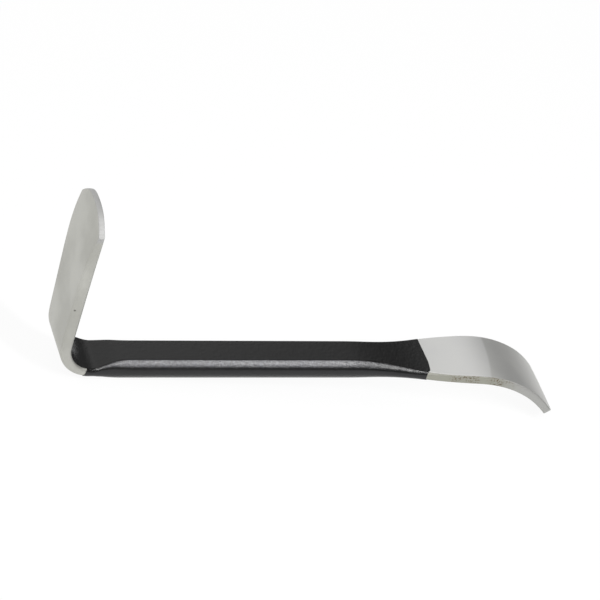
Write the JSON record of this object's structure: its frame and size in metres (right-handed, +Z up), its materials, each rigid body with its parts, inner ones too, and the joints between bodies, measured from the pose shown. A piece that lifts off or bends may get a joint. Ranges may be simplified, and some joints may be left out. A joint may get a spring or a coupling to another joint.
{
  "type": "pry bar",
  "caption": "Forged double-ended pry bar with an upright flat blade, a black coated flat shank and a curved spoon-shaped claw.",
  "frame": {"origin": "middle of the bounding box, on the surface that the bar lies on", "axes": "+X from the upright blade to the claw, +Y across the width, +Z up from the surface that the bar rests on with its heel and claw tip"},
  "size_m": [0.2872, 0.0384, 0.1044],
  "materials": {
    "ground_steel": "satin ground",
    "black_coat": "semi-gloss black"
  },
  "bodies": {
    "root": {"steel_bar": "ground_steel", "shank_coating": "black_coat"}
  },
  "joints": []
}
